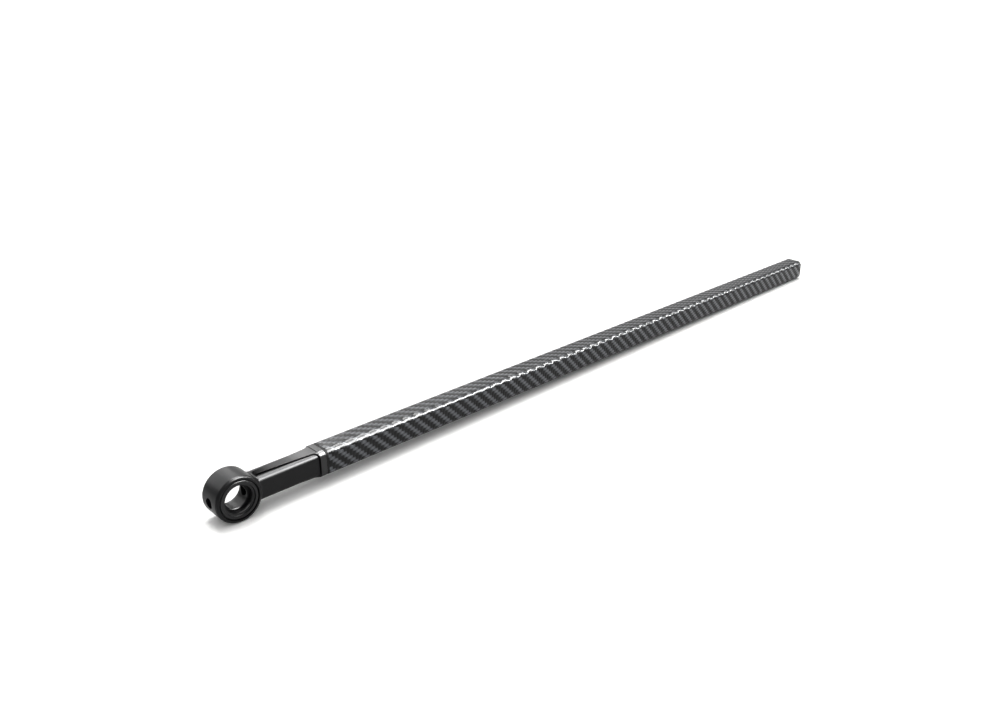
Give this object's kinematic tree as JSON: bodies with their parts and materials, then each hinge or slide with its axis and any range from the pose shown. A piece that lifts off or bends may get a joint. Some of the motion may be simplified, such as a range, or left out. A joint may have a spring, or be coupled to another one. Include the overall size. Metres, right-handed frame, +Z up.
{
  "type": "kite control bar",
  "caption": "Rounded-square carbon twill kite control bar with a moulded eye head on one end and a capped far end.",
  "frame": {"origin": "centre of the eye, on the axis of its bore and on the bar's long axis", "axes": "+X along the bar towards the capped far end, +Y along the eye's bore, +Z up"},
  "size_m": [0.5922, 0.017, 0.0274],
  "materials": {
    "moulded_nylon": "satin black moulded nylon",
    "ribbed_nylon": "satin black moulded nylon",
    "acetal": "smooth black acetal",
    "seal_rubber": "matt black rubber",
    "stainless": "plain stainless steel",
    "wedge_aluminium": "turned and milled",
    "insert_brass": "turned",
    "shoe_nylon": "plain moulded",
    "carbon_twill": "clear-coated carbon twill",
    "foam": "closed-cell foam",
    "plug_plastic": "satin black moulded plastic"
  },
  "bodies": {
    "bar": {"eye_head": "moulded_nylon", "eye_bush_front": "acetal", "eye_bush_rear": "acetal", "tongue_spigot": "ribbed_nylon", "collar_gasket": "seal_rubber", "thrust_washer": "stainless", "shoe_garter": "seal_rubber", "spigot_seal_near": "seal_rubber", "spigot_seal_far": "seal_rubber", "carbon_tube": "carbon_twill", "foam_bulkhead_near": "foam", "foam_bulkhead_far": "foam", "end_plug": "plug_plastic", "end_plug_seal": "seal_rubber"},
    "screw": {"clamp_screw": "stainless"},
    "wedge": {"wedge_nut": "wedge_aluminium", "thread_insert": "insert_brass"},
    "upper_shoe": {"clamp_shoe_upper": "shoe_nylon"},
    "lower_shoe": {"clamp_shoe_lower": "shoe_nylon"}
  },
  "joints": [
    {"name": "clamp_screw_turn", "type": "hinge", "parent": "bar", "child": "screw", "pos_m": [0.012, 0, 0], "axis": [1, 0, 0], "range_deg": [-1080.01, 0]},
    {"name": "wedge_travel", "type": "slide", "parent": "bar", "child": "wedge", "axis": [1, 0, 0], "range_m": [0, 0.0021]},
    {"name": "upper_shoe_release", "type": "slide", "parent": "bar", "child": "upper_shoe", "axis": [0, 0, -1], "range_m": [0, 0.0003713]},
    {"name": "lower_shoe_release", "type": "slide", "parent": "bar", "child": "lower_shoe", "axis": [0, 0, 1], "range_m": [0, 0.0003713]}
  ],
  "couplings": [
    {"joint": "clamp_screw_turn", "follows": "wedge_travel", "rad_per_m": -8976},
    {"joint": "upper_shoe_release", "follows": "wedge_travel", "ratio": 0.17633},
    {"joint": "lower_shoe_release", "follows": "wedge_travel", "ratio": 0.17633}
  ]
}
